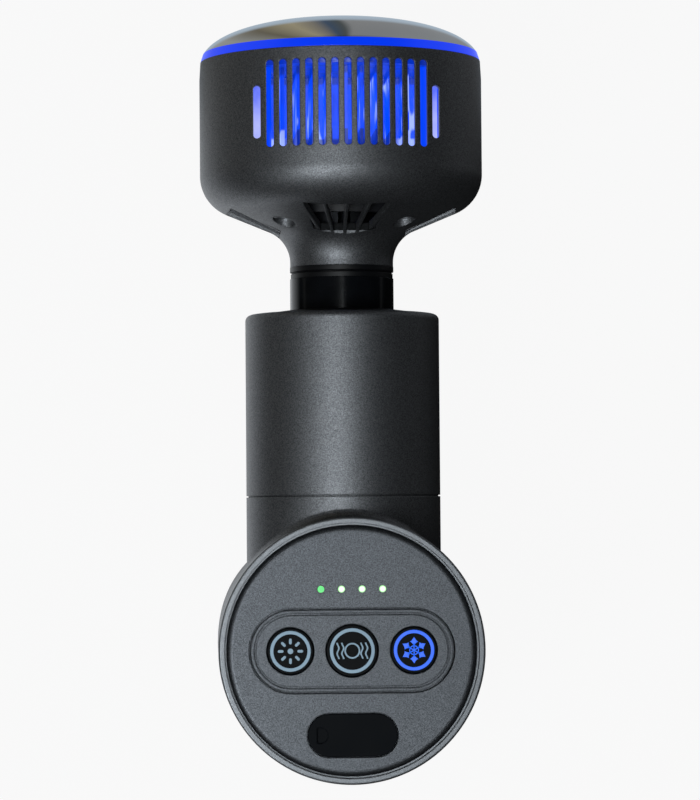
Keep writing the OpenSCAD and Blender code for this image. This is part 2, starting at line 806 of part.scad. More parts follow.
module fan_rotor() {
    hub_r = 5.6;
    bottom = tray_y + 0.4;
    top = fan_top - 1.4;
    blade_pitch = 38;
    blade_w = 12;
    color("#2a2d31") along_barrel() {
        difference() {
            union() {
                rod(bottom, top, hub_r);
                intersection() {
                    rod(bottom, top, fan_r);
                    for (i = [0:blade_count - 1]) rotate(i * 360 / blade_count)
                        translate([hub_r - 1, 0, (bottom + top) / 2]) rotate([blade_pitch, 0, 0])
                            translate([0, -blade_t / 2, -blade_w / 2]) cube([far, blade_t, blade_w]);
                }
            }
            rod(bottom - 1, bottom + 1, hub_r - 1.2);
        }
        rod(top - skin, fan_top - 0.2, 1);
    }
}

// Ring board that lies on the tray, with blue lights on it
module light_board() {
    inner = duct_r + slip_fit;
    y = tray_y + tray_t;
    color("#1f5f3f") along_barrel() difference() {
        union() {
            rod(y, y + 1, board_r);
            on_circle(board_r - 1.7, [for (i = [0:11]) 15 + 30 * i])
                translate([-0.9, -1.2, y + 1 - skin]) cube([1.8, 2.4, 0.8]);
        }
        rod(y - 1, y + 3, inner);
        on_circle(screw_circle_r, corner_angles) rod(y - 1, y + 3, 2);
    }
}

module heat_sink() {
    last = (fin_count - 1) / 2;
    color("#c2c6ca") along_barrel() {
        rod(sink_y, sink_top, bore_in_r - 0.9);
        translate([-module_side / 2, -module_side / 2, sink_top - skin])
            cube([module_side, module_side, module_y - sink_top + skin]);
        intersection() {
            rod(sink_y - fin_h, sink_y + 0.5, fin_circle_r);
            union() {
                for (i = [-last:last])
                    translate([i * fin_pitch - fin_t / 2, -far / 2, sink_y - fin_h])
                        cube([fin_t, far, fin_h + 0.5]);
                translate([-far / 2, -fin_rib_t / 2, sink_y - fin_h]) cube([far, fin_rib_t, fin_h + 0.5]);
            }
        }
    }
}

module insulation_ring() {
    hole = module_side + 0.4;
    top = module_y + 1.2;
    color("#e6e2d6") along_barrel() difference() {
        rod(sink_top, top, plate_spigot_r - 1.8);
        translate([-hole / 2, -hole / 2, sink_top - 1]) cube([hole, hole, top - sink_top + 2]);
    }
}

// Two ceramic faces with the pellets between them
module thermo_module() {
    ceramic = 0.8;
    margin = 1.2;
    inner = module_side - 2 * margin;
    color("#f2f0ea") along_barrel() {
        translate([-module_side / 2, -module_side / 2, module_y]) cube([module_side, module_side, ceramic]);
        translate([-inner / 2, -inner / 2, module_y + ceramic - skin])
            cube([inner, inner, module_t - 2 * ceramic + 2 * skin]);
        translate([-module_side / 2, -module_side / 2, module_y + module_t - ceramic])
            cube([module_side, module_side, ceramic]);
    }
}

module light_ring() {
    color("#1560ff") along_barrel() rotate_extrude() polygon([
        [bore_in_r - 1, rim_y], [head_r - rim_taper, rim_y], [head_r - rim_taper - 0.55, glow_y],
        [bore_in_r - 1, glow_y]
    ]);
}

// Domed contact plate: its crown is a superellipse, flatter in the middle than at the edge
module contact_plate() {
    edge_r = head_r - rim_taper - 0.6;
    full_r = head_r - 0.2;
    full_h = crown_h / (1 - pow(1 - pow(edge_r / full_r, crown_power), 1 / crown_power));
    steps = 18;
    function drop(r) = full_h * (1 - pow(1 - pow(r / full_r, crown_power), 1 / crown_power));
    apex = glow_y + crown_h;
    crown = [for (i = [0:steps]) let(r = edge_r * sin(90 * i / steps)) [r, apex - drop(r)]];
    pad_r = module_side / sqrt(2) + 0.6;
    spigot_in_r = plate_spigot_r - 1.6;
    hollow_y = min(apex - drop(spigot_in_r) - plate_edge_t, module_top);
    color("#d9dbdd") along_barrel() rotate_extrude() polygon(concat(
        crown,
        [[plate_spigot_r, glow_y], [plate_spigot_r, rim_y + 0.1], [spigot_in_r, rim_y + 0.1],
            [spigot_in_r, hollow_y], [pad_r, module_top], [0, module_top]]
    ));
}

// ---- Control face ----

module bezel_ring() {
    edge = 0.4;
    spigot_r = socket_r - slip_fit;
    lip_r = handle_top_r - 0.4;
    ledge_r = boss_r + 0.1;
    spigot_z = shell_top - 3.7;
    color("#4a4e53") rotate_extrude() polygon(concat(
        [[ledge_r, spigot_z], [spigot_r, spigot_z], [spigot_r, shell_top], [lip_r, shell_top],
            [lip_r, shell_top + bezel_groove], [bezel_r, shell_top + bezel_groove]],
        arc([bezel_r - edge, handle_h - edge], edge, 0, 90, 4),
        [[band_in_r, handle_h], [band_in_r, ledge_z], [ledge_r, ledge_z]]
    ));
}

module face_plate() {
    pocket_depth = cover_t + 0.2;
    color("#5b6166") difference() {
        union() {
            rotate_extrude() polygon(concat(
                [[0, plate_z], [boss_r, plate_z], [boss_r, ledge_z], [plate_r, ledge_z]],
                arc([plate_r - face_round, face_z - face_round], face_round, 0, 90, 6),
                [[0, face_z]]
            ));
            on_circle(boss_r - 1.7, post_angles) rod(board_top, plate_z + skin, 1.5);
        }
        translate([0, 0, plate_z - 1]) linear_extrude(plate_t + 2) racetrack(track_l, track_w);
        light_places() rod(plate_z - 1, face_z + 1, light_r + 0.02);
        translate([0, -port_drop, face_z - pocket_depth]) linear_extrude(pocket_depth + 1)
            racetrack(cover_l + 2 * cover_gap, cover_w + 2 * cover_gap);
        translate([0, -port_drop, plate_z - 1]) linear_extrude(plate_t)
            racetrack(socket_l + 0.2, socket_w + 0.2);
    }
}

// Racetrack insert round the buttons: a raised rib inside a groove at its edge
module button_surround() {
    l = track_l - 2 * track_gap;
    w = track_w - 2 * track_gap;
    color("#5b6166") difference() {
        union() {
            translate([0, 0, surround_z]) linear_extrude(face_z - surround_z) racetrack(l, w);
            translate([0, 0, surround_z]) linear_extrude(surround_flange_t) racetrack(l + 2.6, w + 2.6);
        }
        translate([0, 0, face_z - groove_depth]) linear_extrude(groove_depth + 1) difference() {
            racetrack(l - 2 * rib_w, w - 2 * rib_w);
            racetrack(l - 2 * rib_w - 2 * groove_w, w - 2 * rib_w - 2 * groove_w);
        }
        for (i = [0:2]) translate([button_x[i], 0, 0]) rod(surround_z - 1, face_z + 1, button_hole[i]);
    }
}

module light_places() {
    for (i = [0:light_count - 1])
        translate([(i - (light_count - 1) / 2) * light_pitch, light_y, 0]) children();
}

chip_h = 0.8;

module indicator_lenses() {
    color("#e8fff0") light_places() rod(board_top + chip_h, face_z + 0.05, light_r);
}

module control_board() {
    color("#1f5f3f") union() {
        rod(board_z, board_top, frame_r - 0.3);
        light_places() translate([-0.9, -0.8, board_top - skin]) cube([1.8, 1.6, chip_h + skin]);
        translate([-6, -9.5, board_top - skin]) cube([7, 3.2, 1.2]);
    }
}

switch_w = 5.2;
switch_h = 2.2;
plunger_h = 0.9;
stem_gap = button_travel + 0.2;

module tact_switches() {
    color("#2c2f33") for (x = button_x) translate([x, 0, board_top]) {
        translate([-switch_w / 2, -switch_w / 2, 0]) cube([switch_w, switch_w, switch_h]);
        cylinder(h = switch_h + plunger_h, r = 1.6);
    }
}

module usb_socket() {
    wall = 0.35;
    top = face_z - cover_t - 0.2;
    color("#b8bbbf") translate([0, -port_drop, 0]) {
        difference() {
            translate([0, 0, board_top]) linear_extrude(top - board_top) racetrack(socket_l, socket_w);
            translate([0, 0, top - 7]) linear_extrude(8)
                racetrack(socket_l - 2 * wall, socket_w - 2 * wall);
        }
        translate([-3.3, -0.35, top - 7 - skin]) cube([6.6, 0.7, 6]);
    }
}

// A cap with its retaining flange and the stem that presses the switch
module button(i) {
    cap_r = button_hole[i] - button_gap;
    flange_r = button_hole[i] + 0.45;
    flange_z = surround_z - 1.1;
    top = face_z + button_proud;
    edge = 0.25;
    glow_r = button_glow[i];
    color("#121316") translate([button_x[i], 0, 0]) {
        difference() {
            rotate_extrude() polygon(concat(
                [[0, flange_z], [flange_r, flange_z], [flange_r, flange_z + 0.9],
                    [cap_r, flange_z + 0.9]],
                arc([cap_r - edge, top - edge], edge, 0, 90, 3),
                [[0, top]]
            ));
            tube(top - ring_depth, top + 1, glow_r, glow_r - ring_w);
        }
        rod(board_top + switch_h + plunger_h + stem_gap, flange_z + skin, 1.6);
    }
}

module button_light(i, shade) {
    top = face_z + button_proud;
    color(shade) translate([button_x[i], 0, 0])
        tube(top - ring_depth, top + 0.03, button_glow[i] - skin, button_glow[i] - ring_w + skin);
}

module heat_button() { button(0); }
module heat_button_ring() { button_light(0, "#8a97a3"); }
module power_button() { button(1); }
module power_button_ring() { button_light(1, "#8a97a3"); }
module cold_button() { button(2); }
module cold_button_ring() { button_light(2, "#1560ff"); }

// Rubber flap, hinged at its +x end, with a thumb notch at the other end
module port_cover() {
    notch_r = 1.5;
    color("#0f1012") translate([0, -port_drop, face_z - cover_t]) difference() {
        linear_extrude(cover_t) racetrack(cover_l, cover_w);
        translate([-cover_l / 2 + 2.3, 0, cover_t - 0.5]) linear_extrude(1) difference() {
            circle(r = notch_r);
            translate([-far, -far / 2]) square([far - 0.6, far]);
        }
    }
}

handle_shell();
end_cap();
end_cap_screws();
barrel_sleeve();
barrel_collar();
guide_bush();
bezel_ring();
face_plate();
button_surround();
indicator_lenses();
control_board();
tact_switches();
usb_socket();
battery_cells();
battery_holder();
motor_can();
motor_frame();
motor_screws();
power_leads();
crank();
connecting_rod();
big_end_bearing();
piston_sleeve();
wrist_pin();
seal_ring();
neck_nut();
head_shell();
head_screws();
fan_frame();
fan_rotor();
light_board();
heat_sink();
insulation_ring();
thermo_module();
light_ring();
contact_plate();
heat_button();
heat_button_ring();
power_button();
power_button_ring();
cold_button();
cold_button_ring();
port_cover();
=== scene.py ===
import math

import bpy
from mathutils import Matrix, Vector


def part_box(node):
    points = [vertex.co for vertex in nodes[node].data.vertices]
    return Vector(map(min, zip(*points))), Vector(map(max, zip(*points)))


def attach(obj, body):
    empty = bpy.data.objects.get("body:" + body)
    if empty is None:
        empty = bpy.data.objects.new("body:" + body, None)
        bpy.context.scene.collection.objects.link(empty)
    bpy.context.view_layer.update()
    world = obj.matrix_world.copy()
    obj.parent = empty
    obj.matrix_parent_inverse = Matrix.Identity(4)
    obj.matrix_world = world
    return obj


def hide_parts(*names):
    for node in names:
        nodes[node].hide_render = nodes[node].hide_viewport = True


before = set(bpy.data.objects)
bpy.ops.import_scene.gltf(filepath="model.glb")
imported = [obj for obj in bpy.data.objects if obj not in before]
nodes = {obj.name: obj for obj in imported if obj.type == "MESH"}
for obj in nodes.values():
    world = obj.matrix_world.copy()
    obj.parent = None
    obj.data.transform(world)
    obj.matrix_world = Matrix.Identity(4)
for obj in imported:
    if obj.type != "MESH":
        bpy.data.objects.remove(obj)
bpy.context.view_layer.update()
bpy.ops.object.select_all(action="DESELECT")

# The handle and the barrel. An upright tapered tube carries a second tube, let into its top square
# to it. Both are moulded shells sprayed with a matt gunmetal paint that is full of fine flake.
MM = 0.001


class Wire:
    """An output socket of a material's nodes. Arithmetic on it adds Math nodes to the same tree."""

    def __init__(self, socket):
        self.socket = socket

    def node(self, kind, settings, sockets, out=0):
        """Adds a node: first its settings, then its sockets' values or wires, by name or number."""
        tree = self.socket.id_data
        made = tree.nodes.new(kind)
        for name, value in settings.items():
            if name == "stops":
                ramp = made.color_ramp
                while len(ramp.elements) < len(value):
                    ramp.elements.new(0.5)
                for element, (at, colour) in zip(ramp.elements, value):
                    element.position = at
                    element.color = colour
            else:
                setattr(made, name, value)
        for name, value in sockets.items():
            if isinstance(value, Wire):
                tree.links.new(value.socket, made.inputs[name])
            else:
                made.inputs[name].default_value = value
        return Wire(made.outputs[out])

    def math(self, operation, *others):
        """A Math node with this wire as its first value."""
        values = dict(enumerate((self, *others)))
        return self.node("ShaderNodeMath", {"operation": operation}, values)

    def __add__(self, other):
        return self.math("ADD", other)

    def __sub__(self, other):
        return self.math("SUBTRACT", other)

    def __rsub__(self, other):
        return self.node("ShaderNodeMath", {"operation": "SUBTRACT"}, {0: other, 1: self})

    def __mul__(self, other):
        return self.math("MULTIPLY", other)

    def __gt__(self, other):
        return self.math("GREATER_THAN", other)

    def __lt__(self, other):
        return self.math("LESS_THAN", other)

    def ramp(self, start, end):
        """0 up to start, 1 from end, and a smooth rise between them."""
        return self.node("ShaderNodeMapRange", {"interpolation_type": "SMOOTHSTEP"},
                         {0: self, 1: start, 2: end})

    def axis(self, number):
        """One coordinate of a place: 0 for x, 1 for y and 2 for z."""
        return self.node("ShaderNodeSeparateXYZ", {}, {0: self}, out=number)

    __radd__ = __add__
    __rmul__ = __mul__


def srgb(code):
    """A colour written as six hex digits, in the linear values that shaders take."""
    shares = [int(code[i:i + 2], 16) / 255 for i in (0, 2, 4)]
    linear = [s / 12.92 if s <= 0.04045 else ((s + 0.055) / 1.055) ** 2.4 for s in shares]
    return (*linear, 1.0)


def finish(name, steady, paint):
    """A material: steady values go on its shader, and paint(place) gives wires for what varies."""
    material = bpy.data.materials.new(name)
    material.use_nodes = True
    shader = material.node_tree.nodes["Principled BSDF"]
    for socket, value in steady.items():
        shader.inputs[socket].default_value = value
    place = Wire(material.node_tree.nodes.new("ShaderNodeTexCoord").outputs["Object"])
    for socket, value in paint(place).items():
        material.node_tree.links.new(value.socket, shader.inputs[socket])
    return material


def mix(factor, first, second):
    """Blends two colours by a wire."""
    sockets = {0: factor, 6: first, 7: second}
    return factor.node("ShaderNodeMix", {"data_type": "RGBA"}, sockets, out=2)


def noise(place, cells_per_mm, detail=2.0):
    """Soft noise with so many cells in a millimetre."""
    return place.node("ShaderNodeTexNoise", {}, {0: place, 2: cells_per_mm / MM, 3: detail})


def rounded(height, depth, edge_mm):
    """Tilts the surface by a height wire that is so many mm deep, and rounds its edges."""
    edge = height.node("ShaderNodeBevel", {"samples": 4}, {0: edge_mm * MM})
    sockets = {"Height": height, "Distance": depth * MM, "Normal": edge}
    return height.node("ShaderNodeBump", {}, sockets)


def dress(material, *names):
    """Gives CAD nodes their finish."""
    for name in names:
        nodes[name].data.materials.clear()
        nodes[name].data.materials.append(material)


def flake_paint(name, dark, light, roughness, grain_depth, edge_mm, lit=None, painted_shade=None):
    """Matt metallic paint: fine flake that flashes here and there, over a grain that can be felt.

    lit(place) gives a painted glow on it, and the shade mask is 1 where painted shade makes it near
    black.
    """
    def paint(place):
        cell = place.node("ShaderNodeTexVoronoi", {}, {"Vector": place, "Scale": 5.5 / MM}, out=1)
        spark = cell.node("ShaderNodeSeparateColor", {}, {0: cell})
        grain = noise(place, 4.0)
        cloud = noise(place, 0.06)
        shade = grain.ramp(0.3, 0.7) * 0.5 + spark * 0.4 + cloud * 0.1
        varied = {
            "Base Color": mix(shade, srgb(dark), srgb(light)),
            "Roughness": grain * 0.08 - spark * 0.06 + roughness,
            "Normal": rounded(spark * 0.5 + grain * 0.5, grain_depth, edge_mm),
        }
        if lit:
            varied["Emission Color"] = lit(place)
        # Painted shade: the base colour goes near black where the shade mask is 1.
        if painted_shade:
            varied["Base Color"] = mix(painted_shade(place), varied["Base Color"], srgb("0a0b0c"))
        return varied
    return finish(name, {"Metallic": 0.9, "Emission Strength": 1.0 if lit else 0.0}, paint)


gunmetal = flake_paint("gunmetal_paint", "414244", "737578", 0.48, 0.02, 0.35)
dress(gunmetal, "handle_shell", "barrel_sleeve")


# The end cap. A black moulded disc closes the bottom of the handle, where the machine stands,
# and three steel screws go through it into the cell holder.
def shaded(colour, factor):
    """A colour made lighter or darker, and no lighter than white."""
    return (*[min(share * factor, 1.0) for share in colour[:3]], 1.0)


def moulded(name, colour, roughness, grain_depth=0.012, edge_mm=0.2, gloss=0.5):
    """Black or coloured plastic and rubber, with the fine eroded grain of its mould."""
    def paint(place):
        grain = noise(place, 6.0, 3.0)
        cloud = noise(place, 0.15)
        shade = grain * 0.5 + cloud * 0.5
        return {
            "Base Color": mix(shade, shaded(srgb(colour), 0.75), shaded(srgb(colour), 1.25)),
            "Roughness": grain * 0.1 + cloud * 0.08 + (roughness - 0.09),
            "Normal": rounded(grain, grain_depth, edge_mm),
        }
    return finish(name, {"Specular IOR Level": gloss}, paint)


def machined(name, colour, roughness, along):
    """Bare metal with the fine lines that its tool or its rolls left along one axis."""
    def paint(place):
        stretch = [6.0, 6.0, 6.0]
        stretch[along] = 0.25
        lines = place.node("ShaderNodeMapping", {}, {0: place, 3: Vector(stretch)})
        line = noise(lines, 1.0, 3.0)
        stain = noise(place, 0.2)
        return {
            "Base Color": mix(line * 0.6 + stain * 0.4, shaded(srgb(colour), 0.8), srgb(colour)),
            "Roughness": line * 0.12 + stain * 0.1 + (roughness - 0.11),
            "Normal": rounded(line, 0.004, 0.12),
        }
    return finish(name, {"Metallic": 1.0}, paint)


black_plastic = moulded("black_plastic", "121315", 0.5, gloss=0.25)
screw_steel = machined("screw_steel", "9a9da1", 0.34, 2)
dress(black_plastic, "end_cap")
dress(screw_steel, "end_cap_screws")

# The cells. Three lithium cells in printed film stand in a black holder, whose two end plates
# are joined by ribs.
cell_wrap = moulded("cell_wrap", "3f7f5f", 0.32, 0.004)
dress(cell_wrap, "battery_cells")
dress(black_plastic, "battery_holder")

# The motor. A zinc-plated can with the crank's shaft on top is screwed under a moulded chassis,
# and two pairs of silicone leads pass it on their way to the control board.
motor_steel = machined("motor_steel", "a7abb0", 0.3, 2)
lead_jacket = moulded("lead_jacket", "8f1d1d", 0.42, 0.006)
dress(motor_steel, "motor_can")
dress(black_plastic, "motor_frame")
dress(screw_steel, "motor_screws")
dress(lead_jacket, "power_leads")

# The crank and the rod. A turned steel disc with its counterweight and pin drives a cast aluminium
# rod on a needle bearing.
crank_steel = machined("crank_steel", "9a9da1", 0.28, 0)
rod_aluminium = machined("rod_aluminium", "b4b7bb", 0.4, 1)
dress(crank_steel, "crank", "wrist_pin")
dress(rod_aluminium, "connecting_rod")
dress(motor_steel, "big_end_bearing")

# The barrel's mouth. A black moulded deck is pressed into the sleeve and closes it, and a pale
# plain bush in the deck's hub guides the piston.
bush_plastic = moulded("bush_plastic", "d8d4c6", 0.45)
dress(black_plastic, "barrel_collar")
dress(bush_plastic, "guide_bush")


# The piston. A black lacquered sleeve slides in the bush, and a soft two-step seal sits between
# it and the head's neck.
def lacquer(name, colour, roughness):
    """Polished black coating: nearly flat, with a trace of orange peel and of wiping marks."""
    def paint(place):
        peel = noise(place, 0.9, 1.0)
        wipe = noise(place, 0.25, 3.0)
        return {
            "Base Color": mix(wipe, srgb(colour), srgb("0d0f12")),
            "Roughness": wipe * 0.08 + (roughness - 0.04),
            "Normal": rounded(peel, 0.002, 0.15),
        }
    return finish(name, {"Specular IOR Level": 0.13}, paint)


gloss_black = lacquer("gloss_black", "040506", 0.15)
black_rubber = moulded("black_rubber", "08090b", 0.42, 0.006, gloss=0.2)
dress(gloss_black, "piston_sleeve")
dress(black_rubber, "seal_ring")

# The head's housing. One thin moulding swells from the neck into a wide drum, sprayed like the
# handle, with a row of slots on two sides and four ribbed windows and four screw recesses under it.
neck_bottom, head_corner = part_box("head_shell")
head_r = head_corner.x / MM
axis_z = head_corner.z / MM - head_r
neck_y = neck_bottom.y / MM
rim_y = head_corner.y / MM
head_wall = 1.8
neck_r = 10.1
neck_bore_r = 8.05
fillet_r = 6.8
fillet_at = (neck_r + fillet_r, neck_y + 0.89)
shoulder_r = 8.0
shoulder_at = (head_r - shoulder_r, neck_y + 18.11)
inner_shoulder_at = (head_r - shoulder_r, neck_y + 17.51)
inner_floor_at = (12.77, neck_y + 7.88)
slope = 22.8
slope_turn = 90 - slope
rim_inset = 0.2
rim_band = 3.5
spin_steps = 180
slot_pitch = 2.44
slot_width = 1.4
slots_each_way = 7
slot_middle = 21.5
slot_cut = 14
long_slot = (95.6, 112.3)
short_slot = (97.4, 107.6)
window_in = 12.2
window_out = 21.8
window_half = 6.0
window_half_out = 8.4
window_bulge = 0.7
window_ribs = (-22.4, -11.2, 0, 11.2, 22.4)
rib_half = 0.3
rib_reach = 40
window_wall_y = 80.6
screw_circle = 16.4
recess_r = 2.2
recess_y = 84.65
boss_wall = 1.2
boss_inset = 0.5
tray_y = 88.41
window_top = tray_y - 0.6
lit_blue = (0.0, 0.055, 0.95, 1.0)


def arc(centre, radius, start, end, steps):
    """Points on an arc, as pairs of a radius and a height."""
    angles = [math.radians(start + (end - start) * i / steps) for i in range(steps + 1)]
    return [(centre[0] + radius * math.cos(a), centre[1] + radius * math.sin(a)) for a in angles]


def turned(name, outline):
    """A closed outline of (radius, place on the barrel's axis) in mm, spun round that axis."""
    bpy.ops.mesh.primitive_circle_add(vertices=len(outline), radius=1, fill_type="NOTHING")
    piece = bpy.context.object
    piece.name = name
    for vertex, (radius, along) in zip(piece.data.vertices, outline):
        vertex.co = Vector((radius, along, axis_z)) * MM
    bpy.ops.object.mode_set(mode="EDIT")
    bpy.ops.mesh.select_all(action="SELECT")
    centre = (0, 0, axis_z * MM)
    bpy.ops.mesh.spin(steps=spin_steps, angle=2 * math.pi, center=centre, axis=(0, 1, 0))
    bpy.ops.mesh.select_all(action="SELECT")
    bpy.ops.mesh.remove_doubles(threshold=0.001 * MM)
    bpy.ops.mesh.normals_make_consistent(inside=False)
    bpy.ops.object.mode_set(mode="OBJECT")
    return piece


def prism(outline, start, end, turn=0):
    """A block with an outline of (across, up) in mm, along the barrel and turned about its axis."""
    bpy.ops.mesh.primitive_circle_add(vertices=len(outline), radius=1, fill_type="NGON")
    block = bpy.context.object
    for vertex, (across, up) in zip(block.data.vertices, outline):
        vertex.co = Vector((across, start, up)) * MM
    bpy.ops.object.mode_set(mode="EDIT")
    bpy.ops.mesh.select_all(action="SELECT")
    bpy.ops.mesh.extrude_region_move(TRANSFORM_OT_translate={"value": (0, (end - start) * MM, 0)})
    bpy.ops.mesh.select_all(action="SELECT")
    bpy.ops.mesh.normals_make_consistent(inside=False)
    bpy.ops.object.mode_set(mode="OBJECT")
    placing = Matrix.Translation((0, 0, axis_z * MM)) @ Matrix.Rotation(math.radians(turn), 4, "Y")
    block.data.transform(placing)
    return block


def joined(parts):
    """Several objects made one."""
    bpy.ops.object.select_all(action="DESELECT")
    for part in parts:
        part.select_set(True)
    bpy.context.view_layer.objects.active = parts[0]
    bpy.ops.object.join()
    return parts[0]


def combine(piece, tool, operation):
    """Cuts a tool out of a piece, adds it or keeps what they share, and takes the tool away."""
    modifier = piece.modifiers.new(operation, "BOOLEAN")
    modifier.operation = operation
    modifier.solver = "EXACT"
    modifier.object = tool
    bpy.ops.object.select_all(action="DESELECT")
    piece.select_set(True)
    bpy.context.view_layer.objects.active = piece
    bpy.ops.object.modifier_apply(modifier=modifier.name)
    bpy.data.objects.remove(tool)


def smooth(piece, degrees):
    """Shades a piece smooth, except where it turns sharply."""
    bpy.ops.object.select_all(action="DESELECT")
    piece.select_set(True)
    bpy.context.view_layer.objects.active = piece
    bpy.ops.object.shade_smooth_by_angle(angle=math.radians(degrees))


def own(piece, material, body, slot, *replaced):
    """Gives a new piece its finish and body, and the CAD nodes that it stands for."""
    piece.data.materials.clear()
    piece.data.materials.append(material)
    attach(piece, body)
    if replaced:
        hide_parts(*replaced)


under_head = arc(fillet_at, fillet_r, 180, 180 - slope_turn, 24)
under_head += arc(shoulder_at, shoulder_r, -slope_turn, 0, 32)
housing = turned(
    "head_housing",
    [(neck_bore_r, neck_y), (neck_r, neck_y)]
    + under_head
    + [(head_r, rim_y - rim_band), (head_r - rim_inset, rim_y), (head_r - head_wall, rim_y)]
    + arc(inner_shoulder_at, shoulder_r - head_wall, 0, -slope_turn, 16)
    + [inner_floor_at, (neck_bore_r, inner_floor_at[1])],
)
corners = arc((0, 0), screw_circle, 45, 315, 3)
boss_r = recess_r + boss_wall
bosses = joined([prism(arc(at, boss_r, 0, 354, 59), neck_y, tray_y) for at in corners])
inside = turned(
    "inside",
    [(0, neck_y), (neck_r, neck_y)] + under_head + [(head_r, rim_y), (0, rim_y)],
)
inside.data.transform(Matrix.Translation((0, boss_inset * MM, 0)))
combine(bosses, inside, "INTERSECT")
combine(housing, bosses, "UNION")
window = [(window_in, -window_half), (window_out, -window_half_out), (window_out + window_bulge, 0),
          (window_out, window_half_out), (window_in, window_half)]
rib = [(0, -rib_half), (rib_reach, -rib_half), (rib_reach, rib_half), (0, rib_half)]
openings = []
for quarter in (0, 90, 180, 270):
    opening = prism(window, neck_y, window_top, quarter)
    for blade in [prism(rib, neck_y - 1, tray_y, quarter + turn) for turn in window_ribs]:
        combine(opening, blade, "DIFFERENCE")
    openings.append(opening)
for at in corners:
    openings.append(prism(arc(at, recess_r, 0, 350, 35), neck_y - 1, recess_y))
for side in (1, -1):
    for number in range(-slots_each_way, slots_each_way + 1):
        low, high = short_slot if abs(number) == slots_each_way else long_slot
        bpy.ops.mesh.primitive_cylinder_add(
            vertices=22, radius=slot_width / 2 * MM, depth=slot_cut * MM)
        cutter = bpy.context.object
        for vertex in cutter.data.vertices:
            end = high - slot_width / 2 if vertex.co.y > 0 else low + slot_width / 2
            vertex.co += Vector((number * slot_pitch, end, axis_z + side * slot_middle)) * MM
        openings.append(cutter)
combine(housing, joined(openings), "DIFFERENCE")
smooth(housing, 30)


def length(first, second):
    """The length of the line across and up by two wires."""
    return (first * first + second * second).math("SQRT")


def painted_blue_glow(place):
    """A painted glow of the blue lamps on the inner wall, and some of it on the sides of the slots.
    """
    across = place.axis(0)
    height = place.axis(2) - axis_z * MM
    depth = 1 - length(across, height).ramp((head_r - head_wall) * MM, (head_r - 0.3) * MM)
    above = place.axis(1).ramp(92 * MM, 96 * MM)
    side = across.math("ABSOLUTE").ramp(15.5 * MM, 16.5 * MM)
    light = mix(side, lit_blue, (0.3, 0.36, 1.0, 1.0))
    return mix(depth * depth * above * 0.4, (0, 0, 0, 1), light)


def window_wall_shade(place):
    """The walls of the windows next to the neck, darkened to near black as painted shade."""
    across = place.axis(0).math("ABSOLUTE")
    up = (place.axis(2) - axis_z * MM).math("ABSOLUTE")
    far = across.math("MAXIMUM", up)
    near = across.math("MINIMUM", up)
    at_wall = (far > (window_in - 0.1) * MM) * (far < (window_in + 0.1) * MM)
    in_window = (near < (window_half + 0.1) * MM) * (place.axis(1) > window_wall_y * MM)
    return at_wall * in_window


head_paint = flake_paint(
    "head_paint", "414244", "737578", 0.48, 0.02, 0.35, lit=painted_blue_glow, painted_shade=window_wall_shade)
own(housing, head_paint, "piston", "head_paint", "head_shell")
dress(screw_steel, "head_screws")
dress(machined("black_steel", "1d1e20", 0.45, 1), "neck_nut")


# The fan. A black tray with a round duct carries the rotor and stands on four posts under the
# heat sink, and a green ring board on it holds twelve blue lights that wash the fins.
def board(name, lit_above):
    """Green solder mask. Its lights are the chips that stand over a place on the barrel's axis."""
    def paint(place):
        copper = noise(place, 0.7)
        mask = noise(place, 3.0)
        chip = place.axis(1) > lit_above * MM
        mask_green = mix(copper.ramp(0.45, 0.55), srgb("173f2c"), srgb("215a3e"))
        return {
            "Base Color": mix(chip, mask_green, srgb("e8ecff")),
            "Roughness": mask * 0.2 + 0.3,
            "Emission Color": mix(chip, (0, 0, 0, 1), (0.1, 0.25, 1.0, 1.0)),
            "Normal": rounded(mask, 0.004, 0.1),
        }
    return finish(name, {"Emission Strength": 0.7}, paint)


def lit_frame(name):
    """Black plastic, with a painted glow of the lamps on its walls at both sides of the fins."""
    def paint(place):
        grain = noise(place, 6.0, 3.0)
        cloud = noise(place, 0.5)
        side = place.axis(0).math("ABSOLUTE")
        above = place.axis(1).ramp(93 * MM, 95 * MM)
        pale = (1 - place.axis(1).ramp(100 * MM, 109 * MM)) * 0.6 + cloud * 0.4
        glow = mix(side.ramp(15.5 * MM, 15.8 * MM) * pale, lit_blue, (0.52, 0.56, 1.0, 1.0))
        return {
            "Base Color": mix(grain, srgb("0f1012"), srgb("16171a")),
            "Roughness": grain * 0.12 + 0.42,
            "Emission Color": mix(side.ramp(12.0 * MM, 12.4 * MM) * above, (0, 0, 0, 1), glow),
            "Normal": rounded(grain, 0.012, 0.2),
        }
    return finish(name, {"Specular IOR Level": 0.25, "Emission Strength": 1.0}, paint)


dress(lit_frame("frame_black"), "fan_frame")
dress(black_plastic, "fan_rotor")
dress(board("light_board_green", 91.1), "light_board")
